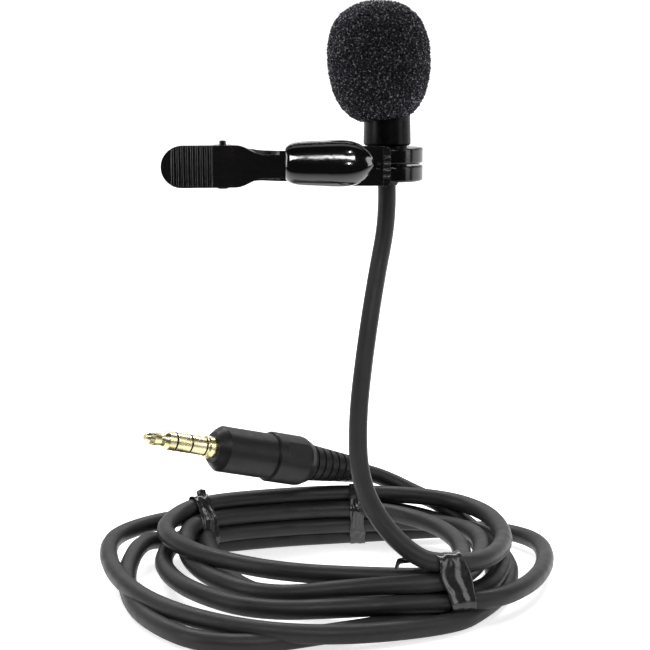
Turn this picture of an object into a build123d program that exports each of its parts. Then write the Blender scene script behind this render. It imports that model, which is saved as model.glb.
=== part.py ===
"""Clip-on lavalier microphone with a foam windscreen, a spring clip and a coiled cord.

Frame: the origin is the middle of the clip's closed jaws. +X runs along the clip from its
levers to the microphone, +Y points away from the wearer, and +Z is up, along the
microphone. The cord hangs from the microphone to a coil that lies on a surface below.
All lengths are in millimetres.
"""
from build123d import *
import math
import os

os.makedirs("parts", exist_ok=True)

# ---- driving dimensions -------------------------------------------------------------
MIC_X, MIC_Y = 10.0, 6.8          # the microphone's vertical axis
FLOOR_Z = -73.4                   # the surface that the coil lies on
CORD_D = 3.2

# microphone head, heights above the clip's middle
STEM_R, STEM_BOTTOM = 3.5, -3.1   # the stem that drops into the clip's ring
BODY_BOTTOM, BODY_TOP = 3.2, 17.8
BODY_R_LOW, BODY_R_HIGH = 4.15, 4.05
TAPER_TOP = 7.5
BODY_BORE_R = 3.45
BODY_EDGE = 0.35
STEM_BORE_R = 2.1
GROMMET_BOTTOM = -3.7
CAVITY_FLOOR = 4.2
GRILLE_T = 0.7
GRILLE_HOLE_R = 0.35
GRILLE_RINGS = [(1.25, 6), (2.5, 12)]  # (radius, holes)
CAPSULE_R, CAPSULE_H = 2.85, 2.7
CAPSULE_TOP = 17.2
CAPSULE_LOW = CAPSULE_TOP - CAPSULE_H
PORT_R, PORT_DEPTH = 0.8, 0.25
CUP_T = 0.35                      # floor of the rubber cup under the capsule
CUP_HOLE_R = 2.15
BOARD_T = 0.8
JOINT_X, JOINT_R, JOINT_H = 1.2, 0.5, 0.3   # solder joints on the board
WIRE_R, WIRE_X = 0.35, 0.8
GROMMET_HEAD_R, GROMMET_HEAD_TOP = 2.8, 5.1
FIT = 0.05                        # running clearance, on the radius
TOUCH = 0.01                      # gap between pieces that touch

# windscreen: (radius, height) along its outside, about a leaning axis beside the microphone's
FOAM_OFFSET_X, FOAM_LEAN = -1.5, 3.0
FOAM_MID_Z = 17.8
FOAM_PROFILE = [(3.3, 7.4), (5.3, 8.3), (7.3, 10.6), (8.5, 14.0), (8.95, 18.2),
                (8.5, 22.2), (7.0, 25.3), (4.3, 27.3), (1.6, 28.05), (0.0, 28.15)]
FOAM_BORE_R, FOAM_BORE_TOP = 4.15, 18.9

# ring holder
RING_OUT_R = 6.3
RING_TOP, RING_BOTTOM = 2.9, -2.9
SLOT_TOP, SLOT_BOTTOM = 0.16, -0.14
RING_GAP = 3.5                    # the mouth that lets the cord pass in
RING_EDGE = 0.25
BASE_X0, BASE_X1 = 3.6, 10.4
BASE_DEPTH = 2.2
BASE_EDGE = 0.6
RIVET_DEPTH = 1.5                 # how far the rivet reaches into the base
RIVET_X, RIVET_R, RIVET_HEAD_R, RIVET_HEAD_T = 8.35, 0.4, 0.6, 0.35

# clip, sheet steel
SHEET = 0.5
PIN_X, PIN_Y, PIN_R = -18.4, 1.5, 0.6
PIN_TOP, PIN_BOTTOM = 4.3, -3.95
LEVER_END_X = -28.6
LEVER_HALF = 3.6
NECK_HALF = 2.0
NECK_X0, NECK_X1 = -16.2, -11.0   # where the lever narrows to the neck
TONGUE_END_X = 4.5
INNER_FACE_Y = -1.5               # front face of the inner jaw along its neck
INNER_END_Y = -3.6                # front face at the end of its lever
FLANGE = 1.5
EAR_R, OUTER_EAR_R = 1.7, 1.5
RIB_COUNT, RIB_PITCH, RIB_R, RIB_X0 = 9, 0.8, 0.3, -26.6
RIB_MARGIN = 0.1
OUTER_HALF = 3.4
OUTER_LEVER_HALF = 2.9
OUTER_NECK_HALF = 2.6
OUTER_END_X, OUTER_END_R = 10.3, 0.8
OUTER_LEVER_X = -28.2
OUTER_NECK_X0, OUTER_NECK_X1 = -15.0, -11.5
OUTER_JAW_X0, OUTER_JAW_X1 = -7.0, -3.5     # where its neck widens to the jaw
OUTER_STEP_X = -8.6               # where the plate comes down to the jaw line
OUTER_KINK_X = -22.5              # where its lever starts to lift
OUTER_BACK_Y = 3.7                # plate height where the outer jaw passes the pin
OUTER_LEVER_Y = 6.4
LIP, LIP_T = 1.4, 1.2               # reach and thickness of the hemmed end lip
TOOTH_PITCH, TOOTH_R = 1.1, 0.22

# plastic cap on the inner jaw: (x, half height, depth of its crown) along its length
CAP_BACK_Y = -0.12
CAP_MID_Z = 0.5
CAP_SECTIONS = [(-7.6, 2.6, 2.5), (-7.0, 3.2, 2.85), (-5.3, 3.7, 3.05), (-1.5, 3.9, 3.2),
                (2.8, 3.95, 3.2), (4.9, 3.4, 2.7), (6.5, 2.2, 2.0), (7.6, 0.9, 1.2)]

# spring
WIRE_SPRING_R, SPRING_R, SPRING_PITCH, SPRING_TURNS = 0.27, 1.2, 0.62, 5
LEG_INNER_X, LEG_OUTER_X = -25.5, -22.3
LEG_CLEARANCE = 0.08

# 3.5 mm plug, lengths along its own axis from the nose of its shell
PLUG_END = (6.2, 26.0, -60.0)     # where the cord enters the boot
PLUG_TIP = (-32.6, 0.9, -47.6)
CONTACT_R, CONTACT_L = 1.75, 14.0
TIP_L, CONTACT_PITCH = 5.7, 3.08
INSULATOR_T = 0.35
BARREL_BORE_R, CORE_R = 1.0, 0.55
CORE_DEPTH = 0.6                  # how far the tip's stem sits in the insulating core
TIP_SHAPE = [(1.2, 3.7), (1.1, 3.0), (1.3, 1.6), (1.1, 0.7), (0.55, 0.0)]   # (radius, from the end)
TIP_LAND = 1.3                    # the tip contact's cylindrical part
COLLAR_L, COLLAR_R, COLLAR_EDGE = 1.5, 2.05, 0.2
SLEEVE_TAIL, SLEEVE_TAIL_R = -6.0, 1.5
SHELL_L, SHELL_R = 12.0, 4.2
NOSE_R, NOSE_L, NOSE_WALL = 2.8, 1.7, 2.2
GRIP_L, GRIP_R, GRIP_END_R = 8.6, 4.65, 3.85
GRIP_EDGE, GRIP_SHOULDER = 0.3, 2.2
GRIP_FLAT = 4.2                   # distance of the grip's flats from its axis
FLAT_L, FLAT_W, FLAT_FROM_END, FLAT_TURN = 5.4, 5.0, 3.9, 24.0
BOOT_R0, BOOT_R1 = 3.5, 2.3
BOOT_SLOTS, SLOT_W, SLOT_DEPTH, SLOT_MARGIN = 8, 0.45, 0.28, 0.8
INNER_MOULD_R, MOULD_IN_GRIP = 3.0, 4.0

# coil: an oval bundle lying on the surface
COIL_CENTRE = (0.4, -4.6)
COIL_OUT = (41.2, 32.6)
COIL_IN_CENTRE = (0.0, -0.5)
COIL_IN = (19.5, 17.0)
COIL_H = 11.0
COIL_EDGE = 3.0

# ties: (x, y, heading of the bundle in degrees, bundle width, bundle height, band width)
TIE_T = 0.35
TIE_R = 2.4                       # outer radius of the band's corners
TIES = {"tie_front": (18.2, -24.6, 20.0, 9.8, 12.5, 3.0),
        "tie_left": (-22.5, 15.6, 212.0, 8.6, 11.2, 2.2),
        "tie_back": (5.0, 23.6, 178.0, 8.6, 11.2, 2.2)}

# routes of the cord's free stretches, chosen by hand
DROP_ROUTE = [(MIC_X, MIC_Y, GROMMET_BOTTOM), (10.2, 6.8, -9.5), (8.2, 4.6, -19.5),
              (6.2, -1.0, -31.0), (4.6, -8.6, -42.5), (4.9, -15.2, -51.5), (8.6, -20.8, -57.6),
              (14.0, -24.0, -61.9), (18.8, -25.2, -64.2)]
LEAD_ROUTE = [(22.0, 21.9, -65.8), (17.2, 25.9, -64.7), (11.4, 27.5, -62.1), PLUG_END]

PARTS = {}


def keep(node, shape):
    """Remember a sub-part under its node's name."""
    PARTS[node] = shape
    return shape


def lathe(corners):
    """Solid of revolution about Z from (radius, height) corners."""
    face = make_face(Polyline(*[(r, 0, z) for r, z in corners], close=True))
    return revolve(face, Axis.Z)


def at_mic(shape):
    """Move a shape built about Z onto the microphone's axis."""
    return Pos(MIC_X, MIC_Y, 0) * shape


# ---- microphone ---------------------------------------------------------------------
def mic_body():
    corners = [(STEM_BORE_R, STEM_BOTTOM), (STEM_R, STEM_BOTTOM), (STEM_R, BODY_BOTTOM),
               (BODY_R_LOW - BODY_EDGE, BODY_BOTTOM), (BODY_R_LOW, BODY_BOTTOM + BODY_EDGE),
               (BODY_R_HIGH, TAPER_TOP), (BODY_R_HIGH, BODY_TOP), (BODY_BORE_R, BODY_TOP),
               (BODY_BORE_R, CAVITY_FLOOR), (STEM_BORE_R, CAVITY_FLOOR)]
    return at_mic(lathe(corners))


def mic_grille():
    """Perforated cap with a short rim that presses into the body."""
    rim_r, rim_t, rim_h = BODY_BORE_R - 2 * TOUCH, 0.28, 0.4
    corners = [(0, BODY_TOP), (rim_r - rim_t, BODY_TOP), (rim_r - rim_t, BODY_TOP - rim_h),
               (rim_r, BODY_TOP - rim_h), (rim_r, BODY_TOP), (BODY_R_HIGH, BODY_TOP),
               (BODY_R_HIGH, BODY_TOP + GRILLE_T), (0, BODY_TOP + GRILLE_T)]
    cap = lathe(corners)
    cap = fillet(cap.edges().group_by(Axis.Z)[-1], 0.3)
    hole = Pos(0, 0, BODY_TOP) * Cylinder(GRILLE_HOLE_R, 4 * GRILLE_T)
    cap -= hole
    for ring, count in GRILLE_RINGS:
        for i in range(count):
            cap -= Rot(0, 0, 360 * i / count) * Pos(ring, 0, 0) * hole
    return at_mic(cap)


def capsule():
    can = Pos(0, 0, (CAPSULE_LOW + CAPSULE_TOP) / 2) * Cylinder(CAPSULE_R, CAPSULE_H)
    can = fillet(can.edges().group_by(Axis.Z)[-1], 0.25)
    port = Pos(0, 0, CAPSULE_TOP) * Cylinder(PORT_R, 2 * PORT_DEPTH)
    return at_mic(can - port)


def capsule_boot():
    outer, inner, rim = BODY_BORE_R - 2 * TOUCH, CAPSULE_R + TOUCH, CAPSULE_TOP + 0.1
    low, floor = CAPSULE_LOW - CUP_T, CAPSULE_LOW - TOUCH
    corners = [(CUP_HOLE_R, low), (outer, low), (outer, rim), (inner, rim), (inner, floor),
               (CUP_HOLE_R, floor)]
    return at_mic(lathe(corners))


def capsule_board():
    low = CAPSULE_LOW - CUP_T - BOARD_T
    board = Pos(0, 0, low + BOARD_T / 2) * Cylinder(CAPSULE_R, BOARD_T)
    for side in (-1, 1):
        board += Pos(side * JOINT_X, 0, low + BOARD_T) * Cylinder(JOINT_R, 2 * JOINT_H)
    return at_mic(board)


def capsule_wires():
    top, low = CAPSULE_LOW - CUP_T - BOARD_T, GROMMET_HEAD_TOP
    wires = []
    for side in (-1, 1):
        wires.append(at_mic(Pos(side * WIRE_X, 0, (top + low) / 2) * Cylinder(WIRE_R, top - low)))
    return Compound(children=wires)


def cord_grommet():
    bush_r, shelf = STEM_BORE_R - 2 * TOUCH, CAVITY_FLOOR + FIT
    corners = [(0, GROMMET_BOTTOM), (CORD_D / 2 + 0.2, GROMMET_BOTTOM), (bush_r, STEM_BOTTOM),
               (bush_r, shelf), (GROMMET_HEAD_R, shelf), (GROMMET_HEAD_R, GROMMET_HEAD_TOP),
               (0, GROMMET_HEAD_TOP)]
    return at_mic(lathe(corners))


def windscreen():
    outside = Spline(*[(r, 0, z) for r, z in FOAM_PROFILE])
    axis_line = Line((0, 0, FOAM_PROFILE[-1][1]), (0, 0, FOAM_PROFILE[0][1]))
    base_line = Line((0, 0, FOAM_PROFILE[0][1]), (FOAM_PROFILE[0][0], 0, FOAM_PROFILE[0][1]))
    foam = revolve(make_face(outside + axis_line + base_line), Axis.Z)
    lean = Pos(FOAM_OFFSET_X, 0, FOAM_MID_Z) * Rot(0, -FOAM_LEAN, 0) * Pos(0, 0, -FOAM_MID_Z)
    foam = lean * foam
    bore_low = FOAM_PROFILE[0][1] - 1
    bore_h = FOAM_BORE_TOP - bore_low
    bore = Pos(0, 0, bore_low + bore_h / 2) * Cylinder(FOAM_BORE_R, bore_h)
    return at_mic(foam - bore)


# ---- ring holder --------------------------------------------------------------------
def c_band(low, high):
    """One C-shaped band of the ring, open on the side away from the clip."""
    band = Cylinder(RING_OUT_R, high - low) - Cylinder(STEM_R + FIT, high - low)
    outer = band.edges().filter_by(GeomType.CIRCLE).sort_by(SortBy.RADIUS)[-2:]
    band = chamfer(outer, RING_EDGE)
    band -= Pos(0, RING_OUT_R, 0) * Box(RING_GAP, 2 * RING_OUT_R, high - low)
    return Pos(0, 0, (low + high) / 2) * band


def ring_holder():
    bands = at_mic(c_band(SLOT_TOP, RING_TOP) + c_band(RING_BOTTOM, SLOT_BOTTOM))
    height = RING_TOP - RING_BOTTOM
    base = Pos((BASE_X0 + BASE_X1) / 2, SHEET + BASE_DEPTH / 2, (RING_TOP + RING_BOTTOM) / 2) \
        * Box(BASE_X1 - BASE_X0, BASE_DEPTH, height)
    base = chamfer(base.edges().filter_by(Axis.Z).group_by(Axis.X)[0], BASE_EDGE)
    bore = at_mic(Cylinder(STEM_R + FIT, 2 * height))
    return bands + base - bore - rivet_shank()


def rivet_shank():
    length = SHEET + RIVET_DEPTH
    return Pos(RIVET_X, length / 2, 0) * Rot(90, 0, 0) * Cylinder(RIVET_R, length)


def holder_rivet():
    head = Pos(RIVET_X, -RIVET_HEAD_T / 2, 0) * Rot(90, 0, 0) * Cylinder(RIVET_HEAD_R, RIVET_HEAD_T)
    head = fillet(head.edges().group_by(Axis.Y)[0], 0.25)
    return rivet_shank() + head


# ---- clip ---------------------------------------------------------------------------
def plan_band(front, depth, reach=12):
    """Sheet bent along X: a front line of (x, y) points, this deep in Y, spread along Z."""
    back = [(x, y + depth) for x, y in reversed(front)]
    face = make_face(Polyline(*[(x, y, 0) for x, y in front + back], close=True))
    return extrude(face, reach / 2, both=True)


def s_bend(x0, y0, x1, y1, reach=0.3):
    """A smooth step between two levels of an outline."""
    length = reach * (x1 - x0)
    return Bezier((x0, y0), (x0 + length, y0), (x1 - length, y1), (x1, y1))


def lever_outline(end_x, half, neck_half, tongue_x, inset=0.0):
    """Outline of a lever that narrows to a neck, seen along Y, spread along Y."""
    half, neck_half, end_x = half - inset, neck_half - inset, end_x + inset
    top = [Line((end_x + half, half), (NECK_X0, half)),
           s_bend(NECK_X0, half, NECK_X1, neck_half, reach=0.4),
           Line((NECK_X1, neck_half), (tongue_x, neck_half))]
    end = Line((tongue_x, neck_half), (tongue_x, -neck_half))
    low = [mirror(edge, Plane.XZ) for edge in top]
    left = ThreePointArc((end_x + half, half), (end_x, 0), (end_x + half, -half))
    face = make_face(Curve() + top + [end] + low + [left])
    return extrude(Plane.XZ * face, 12, both=True)


def ear(side, z_in, z_out, y_far, hole_r, radius):
    """An ear round the pivot pin, folded from a plate whose face is at y_far."""
    low_y, high_y = min(PIN_Y, y_far), max(PIN_Y, y_far)
    arm = Pos(PIN_X, (low_y + high_y) / 2, 0) * Box(2 * radius, high_y - low_y, z_out - z_in)
    disc = Pos(PIN_X, PIN_Y, 0) * Cylinder(radius, z_out - z_in)
    hole = Pos(PIN_X, PIN_Y, 0) * Cylinder(hole_r, z_out - z_in + 1)
    return Pos(0, 0, side * (z_in + z_out) / 2) * (arm + disc - hole)


def ribs(line_y, half):
    """Finger ribs across a lever; line_y gives its face's place at an x."""
    xs = [RIB_X0 + i * RIB_PITCH for i in range(RIB_COUNT)]
    return [Pos(x, line_y(x), 0) * Cylinder(RIB_R, 2 * half) for x in xs]


def inner_front_y(x):
    """Front face of the inner jaw: flat along its neck, raised along its lever."""
    if x >= NECK_X0:
        return INNER_FACE_Y
    share = (NECK_X0 - x) / (NECK_X0 - LEVER_END_X)
    return INNER_FACE_Y + share * (INNER_END_Y - INNER_FACE_Y)


def inner_jaw():
    front = [(x, inner_front_y(x)) for x in (LEVER_END_X - 1, NECK_X0, TONGUE_END_X)]
    outline = lever_outline(LEVER_END_X, LEVER_HALF, NECK_HALF, TONGUE_END_X)
    inside = lever_outline(LEVER_END_X, LEVER_HALF, NECK_HALF, TONGUE_END_X + 2, inset=SHEET)
    neck_end = CAP_SECTIONS[0][0]
    flange_zone = Pos(neck_end - 20, 0, 0) * Box(40, 30, 30)
    jaw = outline & plan_band(front, SHEET)
    jaw += (outline - inside) & plan_band(front, FLANGE) & flange_zone
    for bar in ribs(inner_front_y, LEVER_HALF - RIB_MARGIN):
        jaw += bar & outline
    for side in (-1, 1):
        jaw += ear(side, LEVER_HALF - SHEET, LEVER_HALF, inner_front_y(PIN_X) + SHEET / 2,
                   PIN_R + FIT, EAR_R)
    return jaw


def outer_back_y(x):
    """Jaw-side face of the outer jaw: on the jaw line, then stepped back over the pin."""
    corners = [(OUTER_LEVER_X - 1, OUTER_LEVER_Y), (OUTER_KINK_X, OUTER_BACK_Y),
               (OUTER_NECK_X0, OUTER_BACK_Y), (OUTER_STEP_X, 0.0)]
    for (x0, y0), (x1, y1) in zip(corners, corners[1:]):
        if x <= x1:
            return y0 + (x - x0) / (x1 - x0) * (y1 - y0)
    return 0.0


def outer_outline():
    """Outline of the outer jaw seen along Y: lever, neck and broad jaw end."""
    left, half, neck, end_r = OUTER_LEVER_X, OUTER_LEVER_HALF, OUTER_NECK_HALF, OUTER_END_R
    inset = end_r * (1 - math.sqrt(0.5))
    top = [Line((left + half, half), (OUTER_NECK_X0, half)),
           s_bend(OUTER_NECK_X0, half, OUTER_NECK_X1, neck),
           Line((OUTER_NECK_X1, neck), (OUTER_JAW_X0, neck)),
           s_bend(OUTER_JAW_X0, neck, OUTER_JAW_X1, OUTER_HALF),
           Line((OUTER_JAW_X1, OUTER_HALF), (OUTER_END_X - end_r, OUTER_HALF)),
           ThreePointArc((OUTER_END_X - end_r, OUTER_HALF),
                         (OUTER_END_X - inset, OUTER_HALF - inset),
                         (OUTER_END_X, OUTER_HALF - end_r))]
    end = Line((OUTER_END_X, OUTER_HALF - end_r), (OUTER_END_X, end_r - OUTER_HALF))
    low = [mirror(edge, Plane.XZ) for edge in top]
    left_arc = ThreePointArc((left + half, half), (left, 0), (left + half, -half))
    face = make_face(Curve() + top + [end] + low + [left_arc])
    return extrude(Plane.XZ * face, 12, both=True)


def outer_jaw():
    xs = (OUTER_LEVER_X - 1, OUTER_KINK_X, OUTER_NECK_X0, OUTER_STEP_X, OUTER_END_X + 1)
    front = [(x, outer_back_y(x)) for x in xs]
    jaw = outer_outline() & plan_band(front, SHEET)
    lip_zone = Pos(OUTER_END_X - LIP_T / 2, (SHEET - LIP) / 2, 0) * Box(LIP_T, SHEET + LIP, 20)
    jaw += outer_outline() & lip_zone
    for bar in ribs(lambda x: outer_back_y(x) + SHEET, OUTER_LEVER_HALF - RIB_MARGIN):
        jaw += bar & outer_outline()
    tooth_count = int(2 * (OUTER_HALF - OUTER_END_R) / TOOTH_PITCH)
    for i in range(tooth_count):
        z = (i - (tooth_count - 1) / 2) * TOOTH_PITCH
        jaw -= Pos(OUTER_END_X, -LIP, z) * Rot(0, 90, 0) * Cylinder(TOOTH_R, 3 * LIP_T)
    for side in (-1, 1):
        jaw += ear(side, OUTER_LEVER_HALF - SHEET, OUTER_LEVER_HALF, OUTER_BACK_Y + SHEET / 2,
                   PIN_R + TOUCH, OUTER_EAR_R)
    return jaw - rivet_shank()


def cap_section(x, half, depth):
    """A D-shaped section of the jaw's cap, flat towards the outer jaw."""
    plane = Plane(origin=(x, CAP_BACK_Y, CAP_MID_Z), x_dir=(0, 0, 1), z_dir=(1, 0, 0))
    side = 0.35 * depth
    crown = Spline((-half, side), (-0.78 * half, 0.8 * depth), (0, depth),
                   (0.78 * half, 0.8 * depth), (half, side), tangents=[(0, 1), (0, -1)])
    sides = [Line((-half, 0), (-half, side)), Line((half, side), (half, 0)),
             Line((half, 0), (-half, 0))]
    face = make_face(Curve() + [crown] + sides)
    if plane.y_dir.Y > 0:
        face = mirror(face, Plane.XZ)
    return plane * face


def jaw_cap():
    cap = loft([cap_section(*section) for section in CAP_SECTIONS])
    length = TONGUE_END_X - CAP_SECTIONS[0][0]
    pocket = Pos(TONGUE_END_X - length / 2, INNER_FACE_Y + SHEET / 2, 0) \
        * Box(length + 0.1, SHEET + 0.04, 2 * NECK_HALF + 0.04)
    return cap - pocket


def pivot_pin():
    shaft = Cylinder(PIN_R, PIN_TOP - PIN_BOTTOM)
    pin = Pos(0, 0, (PIN_TOP + PIN_BOTTOM) / 2) * chamfer(shaft.edges().group_by(Axis.Z)[-1], 0.15)
    head_t = LEVER_HALF + FIT
    head = Pos(0, 0, -(head_t - PIN_BOTTOM) / 2) * Cylinder(PIN_R + 0.35, -PIN_BOTTOM - head_t)
    return Pos(PIN_X, PIN_Y, 0) * (pin + head)


def jaw_spring():
    height = SPRING_PITCH * SPRING_TURNS
    helix = Pos(0, 0, -height / 2) * Helix(SPRING_PITCH, height, SPRING_R)
    section = Plane(origin=helix @ 0, z_dir=helix % 0) * Circle(WIRE_SPRING_R)
    coil = Pos(PIN_X, PIN_Y, 0) * sweep(section, path=helix)
    legs = []
    for z, start_y, leg_x, lever_y in (
            (-height / 2, -SPRING_R, LEG_INNER_X, inner_front_y(LEG_INNER_X) + SHEET),
            (height / 2, SPRING_R, LEG_OUTER_X, outer_back_y(LEG_OUTER_X))):
        sign = math.copysign(1, start_y)
        start = Vector(PIN_X, PIN_Y + start_y, z)
        stop = Vector(leg_x, lever_y - sign * (WIRE_SPRING_R + LEG_CLEARANCE), z)
        direction = stop - start
        plane = Plane(origin=start, z_dir=direction)
        legs.append(extrude(plane * Circle(WIRE_SPRING_R), direction.length))
        start_point = Vector(PIN_X + SPRING_R, PIN_Y, z)
        quarter = ThreePointArc(start_point,
                                start_point + Vector(-SPRING_R * (1 - math.cos(math.pi / 4)),
                                                     sign * SPRING_R * math.sin(math.pi / 4), 0),
                                start)
        legs.append(sweep(Plane(origin=quarter @ 0, z_dir=quarter % 0) * Circle(WIRE_SPRING_R),
                          path=quarter))
    for leg in legs:
        coil += leg
    return coil


# ---- plug ---------------------------------------------------------------------------
def plug_location():
    """Local Z runs from the shell's nose towards the tip."""
    end, tip = Vector(*PLUG_END), Vector(*PLUG_TIP)
    axis = (tip - end).normalized()
    return Plane(origin=tip - axis * CONTACT_L, x_dir=(-axis.Y, axis.X, 0), z_dir=axis).location


def contact_ends():
    """Heights where the insulating rings end, from the tip down."""
    return [CONTACT_L - TIP_L - i * CONTACT_PITCH for i in range(3)]


def plug_tip():
    foot = contact_ends()[0]
    corners = [(0, foot - CORE_DEPTH), (CORE_R, foot - CORE_DEPTH), (CORE_R, foot),
               (CONTACT_R, foot), (CONTACT_R, foot + TIP_LAND)]
    corners += [(r, CONTACT_L - back) for r, back in TIP_SHAPE]
    return lathe(corners + [(0, CONTACT_L)])


def plug_insulator():
    """Core inside the contacts, with the three rings that part them."""
    ends = contact_ends()
    core_r, stem_r = BARREL_BORE_R - TOUCH, CORE_R + TOUCH
    floor = ends[0] - CORE_DEPTH - TOUCH
    corners = [(0, 0.2), (core_r, 0.2)]
    for end in reversed(ends):
        low = end - INSULATOR_T
        corners += [(core_r, low), (CONTACT_R, low), (CONTACT_R, end), (core_r, end)]
    return lathe(corners[:-1] + [(stem_r, ends[0]), (stem_r, floor), (0, floor)])


def plug_ring(number):
    ends = contact_ends()
    low, high = ends[number], ends[number - 1] - INSULATOR_T
    return lathe([(BARREL_BORE_R, low), (CONTACT_R, low), (CONTACT_R, high), (BARREL_BORE_R, high)])


def plug_sleeve():
    top = contact_ends()[-1] - INSULATOR_T
    return lathe([(BARREL_BORE_R, SLEEVE_TAIL), (SLEEVE_TAIL_R, SLEEVE_TAIL), (SLEEVE_TAIL_R, 0),
                  (COLLAR_R, 0), (COLLAR_R, COLLAR_L - COLLAR_EDGE),
                  (COLLAR_R - COLLAR_EDGE, COLLAR_L), (CONTACT_R, COLLAR_L), (CONTACT_R, top),
                  (BARREL_BORE_R, top)])


def plug_inner_mould():
    end, neck, floor = -SHELL_L - MOULD_IN_GRIP, SLEEVE_TAIL_R + TOUCH, SLEEVE_TAIL - TOUCH
    return lathe([(0, end), (INNER_MOULD_R, end), (INNER_MOULD_R, -NOSE_WALL), (neck, -NOSE_WALL),
                  (neck, floor), (0, floor)])


def plug_shell():
    bore, neck = INNER_MOULD_R + TOUCH, SLEEVE_TAIL_R + 2 * TOUCH
    face, floor = -TOUCH, TOUCH - NOSE_WALL
    return lathe([(bore, -SHELL_L), (SHELL_R, -SHELL_L), (SHELL_R, -NOSE_L),
                  (SHELL_R - 0.45, -0.6 * NOSE_L), (NOSE_R, face), (neck, face), (neck, floor),
                  (bore, floor)])


def plug_grip():
    joint, end, bore = -SHELL_L, -SHELL_L - GRIP_L, INNER_MOULD_R + TOUCH
    mould_end = joint - MOULD_IN_GRIP - TOUCH
    grip = lathe([(0, end), (GRIP_END_R, end), (GRIP_R - 0.1, end + 0.7 * GRIP_SHOULDER),
                  (GRIP_R, end + GRIP_SHOULDER), (GRIP_R, joint - GRIP_EDGE),
                  (GRIP_R - GRIP_EDGE, joint), (bore, joint), (bore, mould_end), (0, mould_end)])
    for side in (-1, 1):
        beyond = Pos(side * (GRIP_FLAT + GRIP_R), 0, end + FLAT_FROM_END) \
            * Box(2 * GRIP_R, FLAT_W, FLAT_L)
        grip -= Rot(0, 0, FLAT_TURN) * beyond
    return grip


def plug_boot():
    """Tapered strain relief with rings cut round it."""
    high = -SHELL_L - GRIP_L
    low = CONTACT_L - (Vector(*PLUG_TIP) - Vector(*PLUG_END)).length
    boot = lathe([(0, low), (BOOT_R1, low), (BOOT_R0, high), (0, high)])
    pitch = (high - low - 2 * SLOT_MARGIN) / (BOOT_SLOTS - 1)
    for i in range(BOOT_SLOTS):
        z = high - SLOT_MARGIN - i * pitch
        radius = BOOT_R0 + (BOOT_R1 - BOOT_R0) * (high - z) / (high - low)
        boot -= Pos(0, 0, z) * (Cylinder(radius + 1, SLOT_W) - Cylinder(radius - SLOT_DEPTH, SLOT_W))
    return boot


# ---- cord ---------------------------------------------------------------------------
def bend_radii(route):
    """The largest arc that each corner of a route has room for."""
    points = [Vector(*p) for p in route]
    radii = []
    for before, corner, after in zip(points, points[1:], points[2:]):
        run_in, run_out = corner - before, after - corner
        half_turn = math.radians(run_in.get_angle(run_out)) / 2
        radii.append(0.45 * min(run_in.length, run_out.length) / math.tan(half_turn))
    return radii


def cord_tube(name, route):
    """Round tube along straight runs joined by tangent arcs."""
    radii = bend_radii(route)
    path = FilletPolyline(*route, radius=radii)
    section = Plane(origin=path @ 0, z_dir=path % 0) * Circle(CORD_D / 2)
    tube = sweep(section, path=path)
    expected = math.pi * CORD_D ** 2 / 4 * path.length
    print(name, "radii", [round(r, 1) for r in radii], "length", round(path.length, 1),
          "volume ratio", round(tube.volume / expected, 4))
    return tube


def cord_coil():
    outer = Pos(*COIL_CENTRE, 0) * Ellipse(*COIL_OUT)
    inner = Pos(*COIL_IN_CENTRE, 0) * Ellipse(*COIL_IN)
    ring = extrude(Pos(0, 0, FLOOR_Z) * (outer - inner), COIL_H)
    edges = ring.edges().group_by(Axis.Z)
    return fillet(edges[0] + edges[-1], COIL_EDGE)


def tie(x, y, heading, width, height, band):
    """A flat band wrapped round the bundle."""
    outer = RectangleRounded(width + 2 * TIE_T, height, TIE_R)
    inner = RectangleRounded(width, height - 2 * TIE_T, TIE_R - TIE_T)
    loop = extrude(Plane.YZ * (outer - inner), band / 2, both=True)
    return Pos(x, y, FLOOR_Z + height / 2) * Rot(0, 0, heading) * loop


def build():
    keep("windscreen", windscreen())
    keep("mic_body", mic_body())
    keep("mic_grille", mic_grille())
    keep("capsule", capsule())
    keep("capsule_boot", capsule_boot())
    keep("capsule_board", capsule_board())
    keep("capsule_wires", capsule_wires())
    keep("cord_grommet", cord_grommet())
    keep("ring_holder", ring_holder())
    keep("holder_rivet", holder_rivet())
    keep("outer_jaw", outer_jaw())
    keep("inner_jaw", inner_jaw())
    keep("jaw_cap", jaw_cap())
    keep("pivot_pin", pivot_pin())
    keep("jaw_spring", jaw_spring())
    plug = plug_location()
    keep("plug_tip", plug * plug_tip())
    keep("plug_insulator", plug * plug_insulator())
    keep("plug_ring_1", plug * plug_ring(1))
    keep("plug_ring_2", plug * plug_ring(2))
    keep("plug_sleeve", plug * plug_sleeve())
    keep("plug_inner_mould", plug * plug_inner_mould())
    keep("plug_shell", plug * plug_shell())
    keep("plug_grip", plug * plug_grip())
    keep("plug_boot", plug * plug_boot())
    keep("cord_drop", cord_tube("cord_drop", DROP_ROUTE))
    keep("cord_lead", cord_tube("cord_lead", LEAD_ROUTE))
    keep("cord_coil", cord_coil())
    for node, size in TIES.items():
        keep(node, tie(*size))


build()
for node, shape in PARTS.items():
    export_step(shape, os.path.join("parts", node + ".step"))
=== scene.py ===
"""Looks of the clip-on lavalier microphone: materials, foam, wound cord, ties, light and camera.

Everything is in metres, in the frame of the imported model. Lengths given in millimetres are
multiplied by MM.
"""
import math

import bmesh
import bpy
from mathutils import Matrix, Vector, noise


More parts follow.
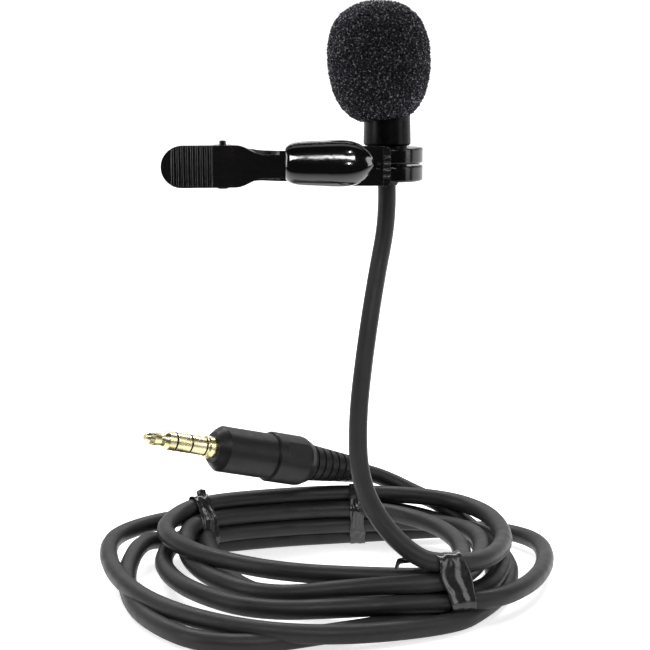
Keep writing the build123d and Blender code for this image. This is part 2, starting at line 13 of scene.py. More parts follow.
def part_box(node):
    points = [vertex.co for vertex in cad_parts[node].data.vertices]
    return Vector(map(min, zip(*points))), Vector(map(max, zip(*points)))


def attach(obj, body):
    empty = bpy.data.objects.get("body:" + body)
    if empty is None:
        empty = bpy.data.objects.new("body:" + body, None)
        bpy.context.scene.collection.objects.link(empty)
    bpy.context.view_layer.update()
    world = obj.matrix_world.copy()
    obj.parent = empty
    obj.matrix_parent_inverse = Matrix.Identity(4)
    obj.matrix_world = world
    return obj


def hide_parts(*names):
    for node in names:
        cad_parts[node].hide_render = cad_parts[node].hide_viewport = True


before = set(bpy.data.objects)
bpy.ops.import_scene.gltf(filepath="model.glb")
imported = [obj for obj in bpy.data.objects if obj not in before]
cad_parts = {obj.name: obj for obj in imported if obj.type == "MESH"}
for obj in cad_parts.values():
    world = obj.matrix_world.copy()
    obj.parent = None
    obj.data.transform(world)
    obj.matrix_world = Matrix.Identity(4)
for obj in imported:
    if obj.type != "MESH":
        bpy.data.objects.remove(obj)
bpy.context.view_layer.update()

MM = 0.001
FLOOR_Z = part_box("cord_coil")[0].z

# camera, in front and a little above: degrees down, then lens and sensor in mm
CAMERA_AT = (-0.84 * MM, -276.5 * MM, 16.2 * MM)
CAMERA_PITCH = 8.98
CAMERA_LENS, CAMERA_SENSOR = 89.34, 36
CAMERA_NEAR, CAMERA_FAR = 0.01, 20

# backdrop: its strength to the camera, and to every other ray in front and behind
SKY_SEEN = 1.1
SKY_FRONT, SKY_BACK = 0.035, 0.9
SKY_FADE = 0.1, 0.8                        # a direction's Y where it leaves one for the other
FLOOR_REACH = 6.0
FLOOR_FRONT, FLOOR_WHITE = -0.14, 0.02     # its Y where it begins, and where no ray sees it fade
FLOOR_ALBEDO, FLOOR_GLOW = 0.9, 0.72

# lamps: name, place, size, how bright each looks, and whether it lights matt surfaces too
LAMPS = [("back_strip", (0.0, 0.34, 0.42), (0.7, 0.06), 14.0, True),
         ("high_strip", (0.0, -0.36, 0.284), (0.5, 0.032), 14.0, False),
         ("left_box", (-0.42, -0.16, 0.12), (0.12, 0.30), 5.0, True),
         ("right_box", (0.40, -0.15, 0.18), (0.14, 0.46), 2.6, True),
         ("spark", (0.15, -0.36, 0.15), (0.016, 0.016), 260.0, False)]
SUN_STRENGTH = 2.4
SUN_SPREAD, SUN_TILT_X, SUN_TILT_Y = 60, -14, -8     # degrees

# cord
CORD_D = 3.2 * MM
CORD_R = CORD_D / 2
DROP_ROUTE = [(10.0, 6.8, -3.7), (10.2, 6.8, -9.5), (8.2, 4.6, -19.5), (6.2, -1.0, -31.0),
              (4.6, -8.6, -42.5), (4.9, -15.2, -51.5), (8.6, -20.8, -57.6), (14.0, -24.0, -61.9)]
LEAD_ROUTE = [(22.0, 21.9, -65.8), (17.2, 25.9, -64.7), (11.4, 27.5, -62.1), (6.2, 26.0, -60.0)]
PLUG_AXIS = Vector((-0.811, -0.525, 0.259))
CORD_IN_BOOT = 2.5
CORD_STEPS, CORD_ROUNDING = 8, 5           # how finely its length and its section are divided

# the coil: plan points in mm on its inside and its outside, from the front tie round to the
# right, and from the side tie round the left to the front
RIGHT_STATIONS = [((21.8, -18.0), (28.0, -22.5)), ((23.0, -8.5), (35.2, -11.5)),
                  ((22.6, 1.0), (39.2, 3.0)), ((19.4, 9.8), (38.8, 17.0)),
                  ((13.5, 16.8), (29.5, 26.0))]
LEFT_STATIONS = [((-22.6, 9.0), (-34.4, 13.6)), ((-20.8, 0.5), (-40.3, 6.0)),
                 ((-17.6, -6.5), (-38.8, -9.0)), ((-12.2, -12.5), (-31.2, -25.3)),
                 ((-4.5, -17.2), (-16.5, -38.3)), ((5.5, -20.2), (1.0, -36.3))]
# each tie: plan point, and the direction across the bundle, outwards
FRONT_TIE = Vector((18.0, -24.0)), Vector((0.4, -0.92))
BACK_TIE = Vector((5.0, 22.6)), Vector((0.05, 1.0))
SIDE_TIE = Vector((-23.4, 15.0)), Vector((-0.62, 0.78))
# each pass of the cord at the ties: (place across the bundle, height above the floor)
FRONT_SLOTS = [(0.0, 10.5), (-1.6, 7.6), (1.6, 7.7), (-1.6, 4.4), (1.6, 4.5), (0.0, 1.7), (4.8, 1.7)]
BACK_SLOTS = [(0.0, 10.0), (-1.6, 7.4), (-1.6, 4.3), (1.6, 4.3), (0.0, 1.7), (1.6, 7.4)]
# each pass on the right: (share of the way from inside to outside, height above the floor)
RIGHT_PASSES = [(0.52, 7.9), (0.0, 7.2), (0.26, 7.4), (0.51, 4.7), (1.0, 3.2), (0.42, 1.7),
                (0.60, 1.7)]
# each turn on the left and at the front, and its share where it enters the front tie
LEFT_PASSES = [(0.48, 8.0), (0.26, 6.4), (0.0, 4.7), (0.46, 3.8), (0.70, 5.4), (1.0, 5.6)]
FRONT_PASSES = [(0.18, 8.0), (0.40, 5.4), (0.10, 2.4), (0.62, 4.6), (1.07, 1.7), (0.88, 3.6)]
ENTRY_SHARES = [0.12, 0.30, 0.10, 0.52, 0.70, 0.98]
# shares of the way from one pass to the next that the points between them have reached
THIRD, TWO_THIRDS = 0.33, 0.67
LEFT_EARLY, LEFT_LATE, SETTLED = 0.4, 0.8, 0.6
BACK_BOW = Vector((0, 1.2))                # how far the bundle at the back bows out, mm


def add_object(name, data):
    made = bpy.data.objects.new(name, data)
    bpy.context.scene.collection.objects.link(made)
    return made


# ---- the cord's route ---------------------------------------------------------------
def mix(a, b, share):
    return a + (b - a) * share


def station_point(station, share, height):
    (inner_x, inner_y), (outer_x, outer_y) = station
    return (mix(inner_x, outer_x, share), mix(inner_y, outer_y, share), FLOOR_Z / MM + height)


def slot_point(tie, slot):
    at, across = tie
    place = at + across * slot[0]
    return (place.x, place.y, FLOOR_Z / MM + slot[1])


def right_arc(turn, stations):
    """Points from the front tie round the right of the coil."""
    share, height = RIGHT_PASSES[turn]
    low = FRONT_SLOTS[turn][1]
    high = BACK_SLOTS[turn][1] if turn < len(BACK_SLOTS) else height
    heights = [mix(low, height, THIRD), mix(low, height, TWO_THIRDS), height,
               mix(height, high, THIRD), mix(height, high, TWO_THIRDS)]
    return [station_point(s, share, h) for s, h in zip(stations, heights)]


def back_run(turn):
    """Points along the bundle at the back, from its right end to the side tie."""
    slot = BACK_SLOTS[turn]
    middle = (BACK_TIE[0] + SIDE_TIE[0]) / 2 + BACK_BOW, BACK_TIE[1]
    return [slot_point(tie, slot) for tie in (BACK_TIE, middle, SIDE_TIE)]


def left_arc(turn):
    """Points from the side tie round the left of the coil to the front tie."""
    (left, left_h), (front, front_h) = LEFT_PASSES[turn], FRONT_PASSES[turn]
    shares = [left, left, mix(left, front, LEFT_EARLY), mix(left, front, LEFT_LATE), front,
              ENTRY_SHARES[turn]]
    heights = [mix(BACK_SLOTS[turn][1], left_h, SETTLED), left_h, mix(left_h, front_h, SETTLED),
               front_h, front_h, mix(front_h, FRONT_SLOTS[turn + 1][1], SETTLED)]
    return [station_point(s, share, h) for s, share, h in zip(LEFT_STATIONS, shares, heights)]


def cord_route():
    """The whole cord in millimetres, drop, turns and lead, and where it passes each tie."""
    points = list(DROP_ROUTE)
    passes = {"tie_front": [], "tie_back": [], "tie_left": []}
    for turn in range(len(LEFT_PASSES)):
        passes["tie_front"].append(len(points))
        points.append(slot_point(FRONT_TIE, FRONT_SLOTS[turn]))
        points += right_arc(turn, RIGHT_STATIONS)
        passes["tie_back"].append(len(points))
        points += back_run(turn)
        passes["tie_left"].append(len(points) - 1)
        points += left_arc(turn)
    last = len(LEFT_PASSES)
    points.append(slot_point(FRONT_TIE, FRONT_SLOTS[last]))
    points += right_arc(last, RIGHT_STATIONS[:-1])
    points += LEAD_ROUTE
    points.append(tuple(Vector(LEAD_ROUTE[-1]) + PLUG_AXIS * CORD_IN_BOOT))
    return [Vector(p) for p in points], passes


def tie_frame(name, share):
    """A tie's plan place and the way across the bundle, with each pass's (across, up) there.

    The share is how far along its stretch of the curve each pass is cut, from 0 to 1.
    """
    points, passes = cord_route()
    cuts, way = [], Vector((0, 0, 0))
    for i in passes[name]:
        before, at, after = points[i - 1:i + 2]
        cuts.append(before * (0.5 * (1 - share) ** 2) + at * (0.5 + share - share ** 2)
                    + after * (0.5 * share ** 2))
        way += ((at - before) * (1 - share) + (after - at) * share).normalized()
    across = Vector((way.y, -way.x)).normalized()
    centre = sum((cut.xy for cut in cuts), Vector((0, 0))) / len(cuts)
    places = [Vector(((cut.xy - centre).dot(across), cut.z - FLOOR_Z / MM)) for cut in cuts]
    return (centre, across), places


def make_cord():
    points = [point * MM for point in cord_route()[0]]
    curve = bpy.data.curves.new("cord", "CURVE")
    curve.dimensions = "3D"
    curve.resolution_u = CORD_STEPS
    curve.bevel_depth = CORD_R
    curve.bevel_resolution = CORD_ROUNDING
    curve.use_fill_caps = True
    spline = curve.splines.new("NURBS")
    spline.points.add(len(points) - 1)
    for knot, point in zip(spline.points, points):
        knot.co = (*point, 1.0)
    spline.order_u = 3
    spline.use_endpoint_u = True
    spline.use_smooth = True
    cord = add_object("cord", curve)
    cord.data.materials.append(cord_material())
    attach(cord, "mic")
    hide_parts("cord_drop", "cord_coil", "cord_lead")
    return cord


# ---- materials ----------------------------------------------------------------------
BEVEL_SAMPLES = 4
# noise scales in features to a metre, for tone, roughness and relief
CORD_TONE, CORD_SHEEN, CORD_GRAIN = 90, 450, 2600
FOAM_GLINT_SPOTS, FOAM_SHEEN, FOAM_GRAIN = 2900, 2600, 5200
PAINT_TONE, PAINT_SHEEN, PAINT_GRAIN = 300, 700, 4200
NICKEL_WEAR, NICKEL_SHEEN, NICKEL_GRAIN = 160, 900, 600
GLOSS_TONE, GLOSS_SHEEN, GLOSS_WAVE = 140, 500, 120
STEEL_TONE, STEEL_SHEEN, STEEL_GRAIN = 400, 1500, 2400
GOLD_TONE, GOLD_SHEEN, GOLD_GRAIN = 260, 1100, 2200
MOULD_TONE, MOULD_SHEEN, MOULD_GRAIN = 180, 800, 3000
FILM_TONE, FILM_CREASE = 500, 1100
# darkest and lightest tones
CORD_TONES = (0.022, 0.021, 0.022), (0.035, 0.034, 0.036)
PAINT_TONES = (0.0022, 0.0022, 0.0025), (0.005, 0.005, 0.0055)
GLOSS_TONES = (0.0016, 0.0016, 0.0019), (0.0034, 0.0034, 0.004)
GOLD_TONES = (0.93, 0.82, 0.42), (1.0, 0.93, 0.60)
FILM_TONES = (0.010, 0.010, 0.010), (0.032, 0.032, 0.034)
# stops from painted shade in the pores, through near-black foam, to painted glints on bright strands, and
# from clean plating to worn
FOAM_SHADE_AND_GLINT_STOPS = ((0.36, (0.006, 0.006, 0.008)), (0.52, (0.022, 0.022, 0.029)),
              (0.61, (0.075, 0.076, 0.094)), (0.67, (0.50, 0.50, 0.55)))
NICKEL_STOPS = ((0.40, (0.0030, 0.0026, 0.0028)), (0.62, (0.0060, 0.0046, 0.0046)),
                (0.80, (0.022, 0.012, 0.010)))


class Shader:
    """A principled material and the few nodes that vary it over the surface."""

    def __init__(self, name, **sockets):
        self.material = bpy.data.materials.new(name)
        self.material.use_nodes = True
        self.nodes = self.material.node_tree.nodes
        self.links = self.material.node_tree.links
        self.bsdf = self.nodes["Principled BSDF"]
        self.place = self.nodes.new("ShaderNodeTexCoord").outputs["Object"]
        for socket, value in sockets.items():
            self.bsdf.inputs[socket.replace("_", " ")].default_value = value

    def noise(self, scale, detail=4.0, rough=0.55, stretch=(1, 1, 1)):
        """Fractal noise with this many features to a metre."""
        mapping = self.nodes.new("ShaderNodeMapping")
        mapping.inputs["Scale"].default_value = stretch
        self.links.new(self.place, mapping.inputs["Vector"])
        node = self.nodes.new("ShaderNodeTexNoise")
        node.inputs["Scale"].default_value = scale
        node.inputs["Detail"].default_value = detail
        node.inputs["Roughness"].default_value = rough
        self.links.new(mapping.outputs["Vector"], node.inputs["Vector"])
        return node.outputs["Fac"]

    def ramp(self, value, *stops):
        """Colours or greys along a value; stops are (place, colour)."""
        node = self.nodes.new("ShaderNodeValToRGB")
        ramp = node.color_ramp
        while len(ramp.elements) < len(stops):
            ramp.elements.new(0.5)
        for element, (place, colour) in zip(ramp.elements, stops):
            element.position = place
            if not hasattr(colour, "__len__"):
                colour = (colour, colour, colour)
            element.color = (*colour, 1.0)
        self.links.new(value, node.inputs["Fac"])
        return node.outputs["Color"]

    def set(self, socket, value):
        self.links.new(value, self.bsdf.inputs[socket])

    def vary(self, socket, value, low, high, start=0.3, end=0.7):
        """Run a socket from low to high while a noise value runs from start to end."""
        self.set(socket, self.ramp(value, (start, low), (end, high)))

    def bump(self, height, depth, strength=1.0, edge=None):
        """Relief of this depth in metres, over rounded edges if edge is their radius."""
        node = self.nodes.new("ShaderNodeBump")
        node.inputs["Strength"].default_value = strength
        node.inputs["Distance"].default_value = depth
        self.links.new(height, node.inputs["Height"])
        if edge:
            bevel = self.nodes.new("ShaderNodeBevel")
            bevel.samples = BEVEL_SAMPLES
            bevel.inputs["Radius"].default_value = edge
            self.links.new(bevel.outputs["Normal"], node.inputs["Normal"])
        self.links.new(node.outputs["Normal"], self.bsdf.inputs["Normal"])


def cord_material():
    """Satin PVC jacket with faint handling marks."""
    m = Shader("cord_jacket", Specular_IOR_Level=0.3)
    m.vary("Base Color", m.noise(CORD_TONE, detail=3), *CORD_TONES, start=0.35)
    m.vary("Roughness", m.noise(CORD_SHEEN), 0.38, 0.52)
    m.bump(m.noise(CORD_GRAIN, detail=3), 0.03 * MM, 0.35)
    return m.material


def foam_material():
    """Open-cell foam: near black, with painted shade in the pores and painted glints on strands here and
    there.
    """
    m = Shader("foam", Specular_IOR_Level=0.12)
    # the base colour paints shade into the pores and near-white glints onto some strands
    m.set("Base Color", m.ramp(m.noise(FOAM_GLINT_SPOTS, detail=2, rough=0.6), *FOAM_SHADE_AND_GLINT_STOPS))
    m.vary("Roughness", m.noise(FOAM_SHEEN, detail=2), 0.30, 0.9, start=0.35, end=0.65)
    m.bump(m.noise(FOAM_GRAIN, detail=4, rough=0.7), 0.12 * MM, 1.0)
    return m.material


def black_paint(name, roughness, edge, shine):
    m = Shader(name, Specular_IOR_Level=shine)
    m.vary("Base Color", m.noise(PAINT_TONE), *PAINT_TONES)
    m.vary("Roughness", m.noise(PAINT_SHEEN), roughness * 0.8, roughness * 1.25)
    m.bump(m.noise(PAINT_GRAIN, detail=2), 0.02 * MM, 0.25, edge)
    return m.material


def black_nickel():
    """Polished near-black plating, browner where it has rubbed."""
    m = Shader("black_nickel", Specular_IOR_Level=1.0, Coat_Weight=0.6, Coat_Roughness=0.08)
    m.set("Base Color", m.ramp(m.noise(NICKEL_WEAR, detail=6), *NICKEL_STOPS))
    m.vary("Roughness", m.noise(NICKEL_SHEEN, stretch=(1, 1, 8)), 0.14, 0.25)
    m.bump(m.noise(NICKEL_GRAIN, detail=2), 0.02 * MM, 0.25, 0.16 * MM)
    return m.material


def gloss_cap():
    m = Shader("gloss_cap", Specular_IOR_Level=1.0, Coat_Weight=0.8, Coat_Roughness=0.06)
    m.vary("Base Color", m.noise(GLOSS_TONE), *GLOSS_TONES)
    m.vary("Roughness", m.noise(GLOSS_SHEEN, detail=6), 0.07, 0.12, start=0.35, end=0.75)
    m.bump(m.noise(GLOSS_WAVE, detail=1), 0.05 * MM, 0.06, 0.2 * MM)
    return m.material


def steel(name, dark, light, roughness):
    m = Shader(name, Metallic=1.0)
    m.vary("Base Color", m.noise(STEEL_TONE), dark, light)
    m.vary("Roughness", m.noise(STEEL_SHEEN, stretch=(1, 1, 6)), roughness * 0.7, roughness * 1.4)
    m.bump(m.noise(STEEL_GRAIN), 0.01 * MM, 0.3, 0.08 * MM)
    return m.material


def gold():
    m = Shader("gold_plate", Metallic=1.0)
    m.vary("Base Color", m.noise(GOLD_TONE), *GOLD_TONES)
    m.vary("Roughness", m.noise(GOLD_SHEEN), 0.18, 0.30)
    m.bump(m.noise(GOLD_GRAIN), 0.006 * MM, 0.3, 0.06 * MM)
    return m.material


def moulded(name, dark, light, roughness):
    """Moulded plastic or rubber with a fine spark-eroded grain."""
    m = Shader(name, Specular_IOR_Level=0.35)
    m.vary("Base Color", m.noise(MOULD_TONE), dark, light)
    m.vary("Roughness", m.noise(MOULD_SHEEN), roughness * 0.85, min(1.0, roughness * 1.2))
    m.bump(m.noise(MOULD_GRAIN, detail=3), 0.03 * MM, 0.4, 0.12 * MM)
    return m.material


def tie_film():
    """Thin glossy plastic, finely creased."""
    m = Shader("tie_film", Roughness=0.22, Specular_IOR_Level=0.7)
    m.vary("Base Color", m.noise(FILM_TONE), *FILM_TONES)
    m.bump(m.noise(FILM_CREASE, detail=3), 0.05 * MM, 0.5)
    return m.material


def dress(node, material):
    """Give a CAD node this material in every slot."""
    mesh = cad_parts[node].data
    if not mesh.materials:
        mesh.materials.append(material)
    for i in range(len(mesh.materials)):
        mesh.materials[i] = material


def dress_cad():
    nickel = black_nickel()
    dark = ((0.005, 0.005, 0.0055), (0.010, 0.010, 0.011))
    plug = moulded("plug_pvc", (0.0055, 0.0055, 0.0065), (0.010, 0.010, 0.0115), 0.42)
    rubber = moulded("soft_rubber", *dark, 0.7)
    insulator = moulded("insulator", *dark, 0.4)
    pin = steel("pin_steel", (0.030, 0.028, 0.028), (0.075, 0.068, 0.068), 0.22)
    brass = gold()
    looks = {
        "mic_body": black_paint("head_paint", roughness=0.30, edge=0.12 * MM, shine=0.16),
        "mic_grille": black_paint("grille_paint", roughness=0.45, edge=0.05 * MM, shine=0.3),
        "ring_holder": black_paint("ring_enamel", roughness=0.14, edge=0.26 * MM, shine=0.6),
        "capsule": steel("can", (0.60, 0.60, 0.62), (0.78, 0.78, 0.80), 0.3),
        "capsule_board": moulded("board", (0.02, 0.10, 0.04), (0.03, 0.15, 0.06), 0.35),
        "capsule_wires": moulded("wire", (0.30, 0.03, 0.02), (0.42, 0.05, 0.04), 0.4),
        "jaw_spring": steel("spring_wire", (0.16, 0.15, 0.15), (0.34, 0.33, 0.33), 0.25),
    }
    groups = [(nickel, ("outer_jaw", "inner_jaw")), (pin, ("holder_rivet", "pivot_pin")),
              (brass, ("plug_tip", "plug_ring_1", "plug_ring_2", "plug_sleeve")),
              (plug, ("plug_shell", "plug_grip", "plug_boot")),
              (insulator, ("plug_insulator", "plug_inner_mould")),
              (rubber, ("cord_grommet", "capsule_boot"))]
    for material, nodes in groups:
        looks.update((node, material) for node in nodes)
    for node, material in looks.items():
        dress(node, material)


# ---- windscreen and jaw cap ---------------------------------------------------------
FOAM_VOXEL = 0.18 * MM
CAP_VOXEL, CAP_PASSES = 0.12 * MM, 14
PORES_PER_M, LUMPS_PER_M, GRAINS_PER_M = 1900, 230, 3100
FULL_PIT = 0.45                    # how much farther the next cell is, where a pit is deepest
PORE_DEPTH = 0.30 * MM
LUMP_DEPTH = 0.14 * MM
GRAIN_DEPTH = 0.30 * MM


def foam_relief(point):
    """How far the foam's skin stands out at a point: pits in open cells, and slow lumps."""
    near = noise.voronoi(point * PORES_PER_M)[0]
    pit = min(1.0, (near[1] - near[0]) / FULL_PIT)
    lump = noise.noise(point * LUMPS_PER_M)
    grain = noise.noise(point * GRAINS_PER_M)
    return LUMP_DEPTH * lump - PORE_DEPTH * pit + GRAIN_DEPTH * grain


def remeshed(node, name, voxel, passes, material):
    """A CAD solid's shape in a fine even mesh, smoothed this many times."""
    piece = add_object(name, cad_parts[node].data.copy())
    remesh = piece.modifiers.new("voxels", "REMESH")
    remesh.mode = "VOXEL"
    remesh.voxel_size = voxel
    smooth = piece.modifiers.new("smooth", "SMOOTH")
    smooth.iterations = passes
    graph = bpy.context.evaluated_depsgraph_get()
    mesh = bpy.data.meshes.new_from_object(piece.evaluated_get(graph))
    piece.modifiers.clear()
    piece.data = mesh
    mesh.materials.clear()
    mesh.materials.append(material)
    mesh.shade_smooth()
    return piece


def make_foam():
    foam = remeshed("windscreen", "windscreen_foam", FOAM_VOXEL, 0, foam_material())
    normals = [v.normal.copy() for v in foam.data.vertices]
    for vertex, normal in zip(foam.data.vertices, normals):
        vertex.co += normal * foam_relief(vertex.co)
    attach(foam, "windscreen")
    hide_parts("windscreen")


def make_cap():
    """The glossy cap in a mesh fine enough to mirror a lamp in one unbroken line."""
    cap = remeshed("jaw_cap", "jaw_cap_moulding", CAP_VOXEL, CAP_PASSES, gloss_cap())
    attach(cap, "jaw")
    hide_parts("jaw_cap")


# ---- ties ---------------------------------------------------------------------------
TIE_STEPS, TIE_ROWS = 96, 13
TIE_GAP, TIE_LOW = 0.22, 0.15     # clear of the cords and of the floor, mm
FOLDS, FOLD_DEPTH, FINE_DEPTH = 2, 0.09, 0.10
SLOW_WAVES, FINE_WAVES, FINE_ACROSS = 1.6, 5, 3     # how fast the creases change
FOLD_DRIFT, WIDTH_DRIFT = 2.5, 0.35
BUNDLE_HEIGHT = 10                 # a band's slant is given over this height, mm
FILM_T = 0.14 * MM
LOOP_SAMPLES, TINY = 360, 1e-9
TAIL_STEPS, TAIL_ROWS, TAIL_TAPER = 14, 5, 0.25
TAIL_FOLD, TAIL_WAVES, TAIL_RIPPLE, TAIL_RATE = 0.18, 3, 0.15, 0.5
# each tie: name, share, width, slant, loose end (points, width, lean in degrees) and seed
TIES = [("tie_front", 0.80, 5.0, -1.6,
         ([(-2.4, 9.6, -3.4), (-3.2, 10.6, -5.6), (-3.5, 10.6, -8.0), (-3.2, 9.2, -8.6)], 1.3, -50), 1.3),
        ("tie_left", 0.66, 3.2, 0.6,
         ([(0.4, 11.6, -1.0), (0.4, 12.0, 0.0), (0.4, 11.7, 0.9)], 1.6, 10), 4.1),
        ("tie_back", 0.5, 2.4, 0.4,
         ([(-3.3, 8.6, 0.3), (-3.8, 7.0, 0.9), (-3.9, 5.2, 1.0)], 1.4, 8), 2.7)]


def hull_point(places, angle, reach):
    """Point of a band drawn tight round circles, in the plane across the bundle."""
    way = Vector((math.cos(angle), math.sin(angle)))
    best = max(places, key=lambda p: p.dot(way))
    return best + way * reach


def even_loop(places, reach, count):
    """Evenly spaced points round the band."""
    raw = [hull_point(places, math.tau * i / LOOP_SAMPLES, reach) for i in range(LOOP_SAMPLES)]
    raw.append(raw[0])
    lengths = [0.0]
    for a, b in zip(raw, raw[1:]):
        lengths.append(lengths[-1] + (b - a).length)
    points = []
    k = 0
    for i in range(count):
        want = lengths[-1] * i / count
        while lengths[k + 1] < want:
            k += 1
        span = max(TINY, lengths[k + 1] - lengths[k])
        points.append(raw[k].lerp(raw[k + 1], (want - lengths[k]) / span))
    return points


def tie_spot(tie, out, up, side):
    """A point near a tie: across the bundle, above the floor and along the bundle, in mm."""
    at, across = tie
    along = Vector((-across.y, across.x))
    plan = at + across * out + along * side
    return Vector((plan.x, plan.y, FLOOR_Z / MM + max(TIE_LOW, up))) * MM


def band_rows(shape, tie, places, width, slant, seed):
    """Rows of a band's points round the bundle, with lengthwise folds."""
    middle = sum(places, Vector((0, 0))) / len(places)
    loop = even_loop(places, CORD_R / MM + TIE_GAP, TIE_STEPS)
    rows = []
    for row in range(TIE_ROWS):
        across = row / (TIE_ROWS - 1) - 0.5
        line = []
        for i, spot in enumerate(loop):
            turn = math.tau * i / TIE_STEPS
            slow = noise.noise(Vector((SLOW_WAVES * math.cos(turn), SLOW_WAVES * math.sin(turn), seed)))
            fine = noise.noise(Vector((FINE_WAVES * math.cos(turn), FINE_WAVES * math.sin(turn),
                                       FINE_ACROSS * across + seed)))
            wave = math.cos(FOLDS * math.tau * across + FOLD_DRIFT * slow)
            fold = FOLD_DEPTH * wave + FINE_DEPTH * fine
            spot = spot + (spot - middle).normalized() * fold
            lean = slant * (spot.y / BUNDLE_HEIGHT - 0.5)
            side = across * width * (1 + WIDTH_DRIFT * slow) + lean
            line.append(shape.verts.new(tie_spot(tie, spot.x, spot.y, side)))
        rows.append(line)
    return rows


def add_tail(shape, tie, path, width, lean, seed):
    """A loose end of the film along (out, up, side) points; lean turns it from upright."""
    across, rise = math.sin(math.radians(lean)), math.cos(math.radians(lean))
    lines = [[] for _ in range(TAIL_ROWS)]
    for i in range(TAIL_STEPS):
        t = i / (TAIL_STEPS - 1) * (len(path) - 1)
        k = min(int(t), len(path) - 2)
        out, up, side = (mix(a, b, t - k) for a, b in zip(path[k], path[k + 1]))
        half = width / 2 * (1 - TAIL_TAPER * i / TAIL_STEPS)
        for row, line in enumerate(lines):
            share = 2 * row / (TAIL_ROWS - 1) - 1
            ripple = noise.noise(Vector((i * TAIL_RATE, row, seed)))
            fold = TAIL_FOLD * math.cos(TAIL_WAVES * share + seed) + TAIL_RIPPLE * ripple
            line.append(shape.verts.new(tie_spot(tie, out + share * half * across + fold,
                                                 up + share * half * rise, side)))
    for low, high in zip(lines, lines[1:]):
        for i in range(TAIL_STEPS - 1):
            shape.faces.new((low[i], low[i + 1], high[i + 1], high[i]))


def film_mesh(name, share, width, slant, tail, seed):
    """A band of film wound round the bundle, and its loose end."""
    tie, places = tie_frame(name, share)
    shape = bmesh.new()
    rows = band_rows(shape, tie, places, width, slant, seed)
    for low, high in zip(rows, rows[1:]):
        for i in range(TIE_STEPS):
            k = (i + 1) % TIE_STEPS
            shape.faces.new((low[i], low[k], high[k], high[i]))
    add_tail(shape, tie, *tail, seed)
    bmesh.ops.recalc_face_normals(shape, faces=shape.faces)
    mesh = bpy.data.meshes.new(name)
    shape.to_mesh(mesh)
    shape.free()
    mesh.materials.append(TIE_FILM)
    mesh.shade_smooth()
    return mesh


def make_tie(name, *facts):
    band = add_object(name + "_film", film_mesh(name, *facts))
    thick = band.modifiers.new("film", "SOLIDIFY")
    thick.thickness = FILM_T
    thick.offset = 0
    round_off = band.modifiers.new("round", "SUBSURF")
    round_off.levels = round_off.render_levels = 1
    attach(band, "mic")
    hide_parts(name)
    return band


# ---- stage --------------------------------------------------------------------------
def make_camera():
    data = bpy.data.cameras.new("camera")
    data.lens = CAMERA_LENS
    data.sensor_width = CAMERA_SENSOR
    data.clip_start = CAMERA_NEAR
    data.clip_end = CAMERA_FAR
    camera = add_object("camera", data)
    camera.location = CAMERA_AT
    camera.rotation_euler = (math.radians(90 - CAMERA_PITCH), 0, 0)
    bpy.context.scene.camera = camera


def floor_material():
    """White and glowing; every ray but the camera's sees it fade out towards the front."""
    m = Shader("floor_white", Roughness=0.9, Specular_IOR_Level=0.1)
    m.bsdf.inputs["Emission Color"].default_value = (1, 1, 1, 1)
    way = m.nodes.new("ShaderNodeSeparateXYZ")
    m.links.new(m.place, way.inputs["Vector"])
    fade = m.nodes.new("ShaderNodeMapRange")
    fade.inputs["From Min"].default_value = FLOOR_FRONT
    fade.inputs["From Max"].default_value = FLOOR_WHITE
    m.links.new(way.outputs["Y"], fade.inputs["Value"])
    seen = m.nodes.new("ShaderNodeMath")
    seen.operation = "MAXIMUM"
    m.links.new(fade.outputs["Result"], seen.inputs[0])
    m.links.new(m.nodes.new("ShaderNodeLightPath").outputs["Is Camera Ray"], seen.inputs[1])
    for socket, most in (("Base Color", FLOOR_ALBEDO), ("Emission Strength", FLOOR_GLOW)):
        scaled = m.nodes.new("ShaderNodeMath")
        scaled.operation = "MULTIPLY"
        m.links.new(seen.outputs["Value"], scaled.inputs[0])
        scaled.inputs[1].default_value = most
        m.set(socket, scaled.outputs["Value"])
    return m.material


def make_floor():
    """A table top that ends 0.1 m in front of the object."""
    mesh = bpy.data.meshes.new("floor")
    corners = [(-FLOOR_REACH, FLOOR_FRONT), (FLOOR_REACH, FLOOR_FRONT),
               (FLOOR_REACH, FLOOR_REACH), (-FLOOR_REACH, FLOOR_REACH)]
    mesh.from_pydata([(x, y, FLOOR_Z) for x, y in corners], [], [(0, 1, 2, 3)])
    mesh.materials.append(floor_material())
    floor = add_object("floor", mesh)


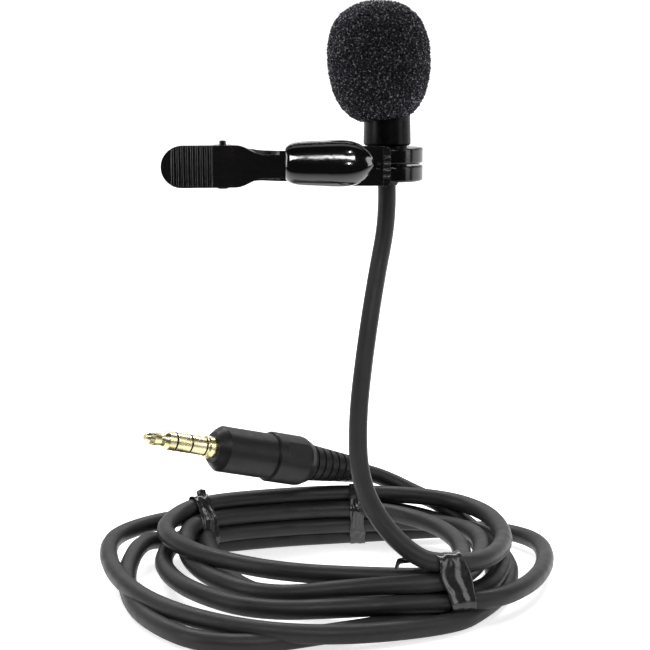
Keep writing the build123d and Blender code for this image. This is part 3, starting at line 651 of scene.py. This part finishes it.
def soft_box(name, place, size, radiance, diffuse):
    """A rectangular light that faces the origin and looks this bright."""
    data = bpy.data.lights.new(name, "AREA")
    data.shape = "RECTANGLE"
    data.size, data.size_y = size
    data.energy = radiance * math.pi * size[0] * size[1]
    light = add_object(name, data)
    light.location = place
    light.rotation_euler = (-Vector(place)).to_track_quat("-Z", "Y").to_euler()
    light.visible_diffuse = diffuse


def make_sky():
    """White where the camera looks; to every other ray, bright behind and dark in front."""
    world = bpy.data.worlds.new("studio")
    bpy.context.scene.world = world
    world.use_nodes = True
    nodes, links = world.node_tree.nodes, world.node_tree.links
    backdrop = nodes["Background"]
    backdrop.inputs["Color"].default_value = (1, 1, 1, 1)
    backdrop.inputs["Strength"].default_value = SKY_SEEN
    around = nodes.new("ShaderNodeBackground")
    way = nodes.new("ShaderNodeSeparateXYZ")
    shade = nodes.new("ShaderNodeMapRange")
    ends = (*SKY_FADE, SKY_FRONT, SKY_BACK)
    for socket, value in zip(("From Min", "From Max", "To Min", "To Max"), ends):
        shade.inputs[socket].default_value = value
    links.new(nodes.new("ShaderNodeTexCoord").outputs["Generated"], way.inputs["Vector"])
    links.new(way.outputs["Y"], shade.inputs["Value"])
    links.new(shade.outputs["Result"], around.inputs["Strength"])
    choose = nodes.new("ShaderNodeMixShader")
    path = nodes.new("ShaderNodeLightPath")
    links.new(path.outputs["Is Camera Ray"], choose.inputs["Fac"])
    links.new(around.outputs["Background"], choose.inputs[1])
    links.new(backdrop.outputs["Background"], choose.inputs[2])
    links.new(choose.outputs["Shader"], nodes["World Output"].inputs["Surface"])


def make_light():
    make_sky()
    data = bpy.data.lights.new("overhead", "SUN")
    data.energy = SUN_STRENGTH
    data.angle = math.radians(SUN_SPREAD)
    overhead = add_object("overhead", data)
    overhead.rotation_euler = (math.radians(SUN_TILT_X), math.radians(SUN_TILT_Y), 0)
    overhead.visible_glossy = False
    for lamp in LAMPS:
        soft_box(*lamp)


# ---- assembly -----------------------------------------------------------------------
make_camera()
make_floor()
make_light()
bpy.context.scene.view_settings.view_transform = "Standard"
TIE_FILM = tie_film()
dress_cad()
cord = make_cord()
ties = [make_tie(*facts) for facts in TIES]
make_foam()
make_cap()
